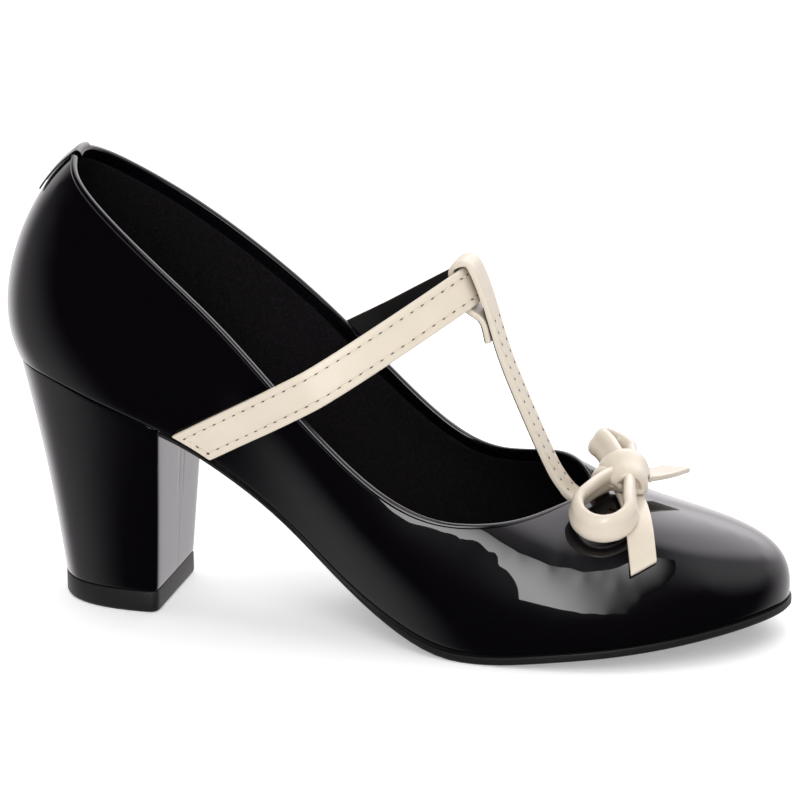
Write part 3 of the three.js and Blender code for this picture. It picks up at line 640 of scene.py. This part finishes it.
def make_instep_strap(cream, lining, thread, hole_shade):
    strap = copy_of("instep_strap", "instep_strap_leather")
    inside = LOOP_MIDDLE - LOOP_OUT * FOOT_BEHIND
    outward = Vector((0, -1, 0))
    low = walk(strap, STRAP_LOW_START, outward, LOOP_DOWN)
    high = walk(strap, STRAP_HIGH_START, outward, LOOP_DOWN)
    corners = []
    for name, pairs in (("low", low), ("high", high)):
        a, b, _ = pairs[len(pairs) // 4]
        outer_first = (a.z > b.z) == (name == "high")
        inset = STITCH_INSET / (STRAP_WIDTH / 2)
        line = between(pairs, inset if outer_first else 1 - inset, STITCH_RAISE)
        points = trim(line, STITCH_INSET, STITCH_INSET)
        stitch_row("strap_stitch_" + name, points, thread, hole_shade)
        corners.append(points[0])
    stitch_row("strap_stitch_end", corners, thread, hole_shade)
    finish_strap(strap)
    paint(strap, cream, lining)
    paint_faces(strap, 1, lambda at, out: out.dot((at - inside).normalized()) < -0.5)
    wear(strap, "cream_patent", "instep_strap")


def make_t_strap(cream, lining, thread, hole_shade):
    strap = copy_of("t_strap", "t_strap_leather")
    pairs = walk(strap, T_START, Vector((0, 0, 1)), Vector((0, 1, 0)))
    inset = STITCH_INSET / T_WIDTH
    for name, share in (("near", inset), ("far", 1 - inset)):
        points = trim(between(pairs, share, STITCH_RAISE), T_STITCH_FROM, T_STITCH_REST)
        stitch_row("t_stitch_" + name, points, thread, hole_shade, T_STITCH_SHARE)
    finish_strap(strap)
    paint(strap, cream, lining)
    below = LOOP_MIDDLE.z - STRAP_WIDTH / 2
    paint_faces(strap, 1, lambda at, out: at.z < below and out.dot(LOOP_OUT) < -0.35)
    wear(strap, "cream_patent", "t_strap")


# Bow
PROFILE_BULGE = 1.06


def ribbon_profile(width, thick):
    """Outline of a padded ribbon with round edges"""
    curve = bpy.data.curves.new("profile", "CURVE")
    curve.dimensions = "2D"
    line = curve.splines.new("BEZIER")
    w, t = width / 2, thick / 2
    bulge = t * PROFILE_BULGE
    spots = [(-t, -w + t), (0, -w), (t, -w + t), (bulge, 0), (t, w - t), (0, w), (-t, w - t), (-bulge, 0)]
    line.bezier_points.add(len(spots) - 1)
    for spot, (x, y) in zip(line.bezier_points, spots):
        spot.co = (x, y, 0)
        spot.handle_left_type = "AUTO"
        spot.handle_right_type = "AUTO"
    line.use_cyclic_u = True
    curve.resolution_u = 3
    piece = bpy.data.objects.new("profile", curve)
    bpy.context.scene.collection.objects.link(piece)
    return piece


def ribbon(name, spots, width, thick, place):
    """A ribbon along spots in mm, each with its tilt in degrees"""
    profile = ribbon_profile(width, thick)
    curve = bpy.data.curves.new(name, "CURVE")
    curve.dimensions = "3D"
    curve.twist_mode = "Z_UP"
    line = curve.splines.new("BEZIER")
    line.bezier_points.add(len(spots) - 1)
    for spot, (x, y, z, tilt) in zip(line.bezier_points, spots):
        spot.co = Vector((x, y, z)) * MM
        spot.tilt = math.radians(tilt)
        spot.handle_left_type = "AUTO"
        spot.handle_right_type = "AUTO"
    curve.resolution_u = 8
    curve.bevel_mode = "OBJECT"
    curve.bevel_object = profile
    curve.use_fill_caps = True
    piece = bpy.data.objects.new(name, curve)
    bpy.context.scene.collection.objects.link(piece)
    piece.matrix_world = place
    choose(piece)
    bpy.ops.object.convert(target="MESH")
    piece = bpy.context.object
    bpy.ops.object.transform_apply(location=True, rotation=True, scale=True)
    bpy.data.objects.remove(profile)
    open_mesh(piece)
    bpy.ops.mesh.select_all(action="SELECT")
    bpy.ops.mesh.remove_doubles(threshold=MERGE)
    bpy.ops.mesh.normals_make_consistent(inside=False)
    close_mesh()
    return piece


def standing(origin, up, ahead):
    """Turns local X to ahead and local Z to up, about a point in mm"""
    z = Vector(up).normalized()
    y = z.cross(Vector(ahead)).normalized()
    x = y.cross(z)
    turn = Matrix((x, y, z)).transposed().to_4x4()
    return Matrix.Translation(Vector(origin) * MM) @ turn


# Middle of each loop in mm, the direction that its ring's axis points in, and its tilt in degrees
KNOT_MIDDLE = Vector((148.51, -0.1, 46.8))
BOW_LOOPS = [
    {"node": "bow_loop_outer", "middle": (146.05, -18.4, 42.8), "up": (0.05, -0.47, 0.88), "radius": 7.6,
     "flare": -20},
    {"node": "bow_loop_inner", "middle": (142.02, 16.26, 48.88), "up": (0.41, 0.19, 0.89), "radius": 4.9,
     "flare": -8},
]
LOOP_ROUND = 125
LOOP_STEPS = 8

# Turns of ribbon that make the knot: each an arch about its axis, in mm and degrees.
# lean tips the ribbon's near edge down towards the axis.
KNOT_SKIN = 1.0 * MM
KNOT_CORE_SHIFT = (0.4 * MM, -0.9 * MM, -0.5 * MM)
KNOT_STEPS = 10
KNOT_TUCK = 0.62
KNOT_TURNS = [
    {"name": "bow_knot_wrap", "middle": (149.0, -2.2, 45.9), "axis": (-0.42, 1, 0.3), "from": -48, "to": 172,
     "ahead": 5.3, "high": 5.7, "width": 10.4, "thick": 2.2, "lean": -15},
    {"name": "bow_knot_fold", "middle": (145.3, -2.0, 45.3), "axis": (0.5, 1, 0.2), "from": 10, "to": 200,
     "ahead": 4.7, "high": 4.6, "width": 8.6, "thick": 2.0, "lean": -12},
]


def make_loop(loop, cream):
    """A ribbon from inside the knot, once round on its edge and back into the knot"""
    place = standing(loop["middle"], loop["up"], (1, 0, 0))
    knot = place.inverted() @ (KNOT_MIDDLE * MM) / MM
    away = Vector((-knot.x, -knot.y, 0)).normalized()
    beside = Vector((-away.y, away.x, 0))
    half = LOOP_THICK / MM / 2
    spots = [(*(knot - beside * half), 0)]
    for i in range(LOOP_STEPS + 1):
        angle = math.radians(LOOP_ROUND * (2 * i / LOOP_STEPS - 1))
        spot = (away * math.cos(angle) + beside * math.sin(angle)) * loop["radius"]
        spots.append((*spot, loop["flare"] * math.cos(angle / 2)))
    spots.append((*(knot + beside * half), 0))
    ring = ribbon(loop["node"] + "_ribbon", spots, LOOP_WIDTH, LOOP_THICK, place)
    paint(ring, cream)
    smooth(ring, 60)
    wear(ring, "cream_patent", loop["node"])


def make_bow(cream):
    for loop in BOW_LOOPS:
        make_loop(loop, cream)

    for node in ("bow_tail_outer", "bow_tail_inner"):
        rounded(node, node + "_ribbon", TAIL_ROUND, 3, 1, cream, "cream_patent", sharp=50, soft=40)

    core = copy_of("bow_knot", "bow_knot_core")
    open_mesh(core)
    bpy.ops.mesh.select_all(action="SELECT")
    bpy.ops.transform.shrink_fatten(value=-KNOT_SKIN)
    bpy.ops.transform.translate(value=KNOT_CORE_SHIFT)
    close_mesh()
    subdivide(core, 1)
    paint(core, cream)
    smooth(core)
    wear(core, "cream_patent", "bow_knot")
    for turn in KNOT_TURNS:
        place = standing(turn["middle"], turn["axis"], (1, 0, 0))
        spots = []
        for i in range(KNOT_STEPS + 1):
            angle = math.radians(turn["from"] + (turn["to"] - turn["from"]) * i / KNOT_STEPS)
            reach = KNOT_TUCK if i in (0, KNOT_STEPS) else 1
            ahead, high = reach * turn["ahead"] * math.cos(angle), reach * turn["high"] * math.sin(angle)
            spots.append((ahead, -high, 0, turn["lean"]))
        band = ribbon(turn["name"], spots, turn["width"] * MM, turn["thick"] * MM, place)
        paint(band, cream)
        smooth(band, 60)
        wear(band, "cream_patent")


def make_tab(patent):
    tab = copy_of("back_tab", "back_tab_leather")
    shell = nodes["upper"].data
    wall = BVHTree.FromPolygons([v.co for v in shell.vertices], [f.vertices for f in shell.polygons])
    for vertex in tab.data.vertices:
        vertex.co = wall.find_nearest(vertex.co)[0].lerp(vertex.co, TAB_SNUG)
    round_edges(tab, TAB_ROUND, 2, 50)
    subdivide(tab, 1)
    paint(tab, patent)
    smooth(tab)
    wear(tab, "black_patent", "back_tab")


# Studio
# The lamps light the soft shading only, and the softbox and the room below light the gloss.
# Sizes and reach are in metres.
LAMPS = [
    {"name": "key", "azimuth": 9.5, "elevation": 33, "reach": 1.4, "width": 0.6, "height": 1.5, "power": 13},
    {"name": "top", "azimuth": 180, "elevation": 68, "reach": 1.6, "width": 2.6, "height": 2.2, "power": 30},
]
LAMP_TARGET = Vector((0.1, -0.02, 0.03))
SOFTBOX = {"azimuth": 9.5, "elevation": 31.5, "reach": 1.4, "width": 0.9, "height": 1.5, "corner": 0.4}
SOFTBOX_TARGET = Vector((0.25, -0.02, 0.03))
SOFTBOX_GLOW = 7.0
WHITE = (1, 1, 1)
BLACK = (0, 0, 0)
SOFTBOX_FADE = (-0.3, 0.42)
FLOOR_SIDE = 12
FLOOR_GLOW = 0.3


def add_lamp(row):
    lamp = bpy.data.lights.new(row["name"], "AREA")
    lamp.shape = "RECTANGLE"
    lamp.size = row["width"]
    lamp.size_y = row["height"]
    lamp.energy = row["power"]
    piece = bpy.data.objects.new(row["name"], lamp)
    bpy.context.scene.collection.objects.link(piece)
    away = towards(row["azimuth"], row["elevation"])
    piece.location = LAMP_TARGET + away * row["reach"]
    piece.rotation_mode = "QUATERNION"
    piece.rotation_quaternion = away.to_track_quat("Z", "Y")
    piece.visible_glossy = False


# The room that the gloss mirrors, from the directions that its lights come from.
# azimuth runs from the camera side towards the toe, and wide and soft are angles, all in degrees.
ROOM_LIGHTS = [
    {"azimuth": 162, "elevation": 52, "wide": 16, "soft": 34, "glow": 2.2},
    {"azimuth": 88, "elevation": 36, "wide": 10, "soft": 45, "glow": 0.9},
    {"azimuth": 180, "elevation": -8, "wide": 40, "soft": 45, "glow": 1.1},
    {"azimuth": -92, "elevation": -28, "wide": 15, "soft": 42, "glow": 0.5},
]
ROOM_DARK = 0.012
ROOM_FILL = 0.34
ROOM_TINT = (1, 0.965, 0.995, 1)


def light_the_room(tree):
    """A dark room with soft lights for mirrored rays and an even fill for all others"""
    room = Nodes(tree)
    where = Value(room, room.node("ShaderNodeTexCoord").outputs["Generated"])
    total = ROOM_DARK
    for light in ROOM_LIGHTS:
        facing = room.node("ShaderNodeVectorMath", {"operation": "DOT_PRODUCT"}, {
            0: where, 1: towards(light["azimuth"], light["elevation"]),
        })
        low = math.cos(math.radians(light["wide"] + light["soft"]))
        high = math.cos(math.radians(light["wide"]))
        share = room.share_between(Value(room, facing.outputs["Value"]), low, high)
        total = share * light["glow"] + total
    mirrored = Value(room, room.node("ShaderNodeLightPath").outputs["Is Glossy Ray"])
    level = (total - ROOM_FILL) * mirrored + ROOM_FILL
    background = tree.nodes["Background"]
    background.inputs["Color"].default_value = ROOM_TINT
    tree.links.new(level.socket, background.inputs["Strength"])


def add_softbox():
    """The softbox that the gloss mirrors: brighter on its left, with a slanting left edge"""
    away = towards(SOFTBOX["azimuth"], SOFTBOX["elevation"])
    bpy.ops.object.select_all(action="DESELECT")
    bpy.ops.mesh.primitive_plane_add(size=1)
    card = bpy.context.object
    card.name = "softbox"
    card.scale = (SOFTBOX["width"], SOFTBOX["height"], 1)
    bpy.ops.object.transform_apply(location=False, rotation=False, scale=True)
    open_mesh(card, "VERT")
    mesh = bmesh.from_edit_mesh(card.data)
    for vertex in mesh.verts:
        vertex.select_set(vertex.co.x < 0 < vertex.co.y)
    bmesh.update_edit_mesh(card.data)
    bpy.ops.transform.translate(value=(SOFTBOX["corner"], 0, 0))
    close_mesh()
    card.location = SOFTBOX_TARGET + away * SOFTBOX["reach"]
    card.rotation_mode = "QUATERNION"
    card.rotation_quaternion = away.to_track_quat("Z", "Y")
    finish = Finish("softbox_cloth", (0, 0, 0), 1.0, specular=0.0)
    fade = finish.share_between(finish.axis("X"), *SOFTBOX_FADE)
    finish.set("Emission Color", finish.mix(fade, WHITE, BLACK))
    finish.set("Emission Strength", SOFTBOX_GLOW)
    finish.relief(finish.noise(0.1), 0.001)
    paint(card, finish.material)
    card.visible_camera = False
    card.visible_diffuse = False
    card.visible_shadow = False


def add_studio():
    world = bpy.data.worlds.new("studio")
    bpy.context.scene.world = world
    world.use_nodes = True
    light_the_room(world.node_tree)
    bpy.ops.object.select_all(action="DESELECT")
    bpy.ops.mesh.primitive_plane_add(size=FLOOR_SIDE, location=(0, 0, 0))
    floor = bpy.context.object
    floor.name = "floor"
    finish = Finish("floor_paper", (0.92, 0.92, 0.92), 0.8, specular=0.1)
    finish.set("Emission Color", (1, 1, 1, 1))
    finish.set("Emission Strength", FLOOR_GLOW)
    finish.relief(finish.noise(3 * MM, 2.0), 0.02 * MM)
    paint(floor, finish.material)
    floor.visible_glossy = False
    for row in LAMPS:
        add_lamp(row)
    add_softbox()
    bpy.context.scene.view_settings.view_transform = "Standard"


add_camera()
patent = black_patent_finish()
heel_patent = heel_patent_finish()
cream = cream_patent_finish("cream_patent", 0.7, 0.12)
strap_cream = cream_patent_finish("cream_strap_patent", 0.35, 0.3)
cloth = lining_finish()
strap_lining = strap_lining_finish()
sole_rubber = rubber_finish("sole_rubber", 0.008, 0.05 * MM)
lift_rubber = rubber_finish("lift_rubber", 0.012, 0.08 * MM)
thread = thread_finish()
# Painted shade for the needle holes
hole_shade = hole_shade_finish()

make_upper(patent)
make_rim(patent)
make_lining(cloth)
rounded("insole", "insole_sock", SOCK_ROUND, 2, 1, cloth, "lining_cloth")
rounded("outsole", "outsole_leaf", SOLE_ROUND, 2, 1, sole_rubber, "sole_rubber", sharp=30, soft=40)
rounded("heel_block", "heel_cover", HEEL_ROUND, 2, 2, heel_patent, "black_patent", sharp=50)
rounded("top_lift", "top_lift_rubber", LIFT_ROUND, 2, 0, lift_rubber, "lift_rubber", sharp=40, soft=40)
make_tab(patent)
make_instep_strap(strap_cream, strap_lining, thread, hole_shade)
make_t_strap(strap_cream, strap_lining, thread, hole_shade)
make_bow(cream)
add_studio()
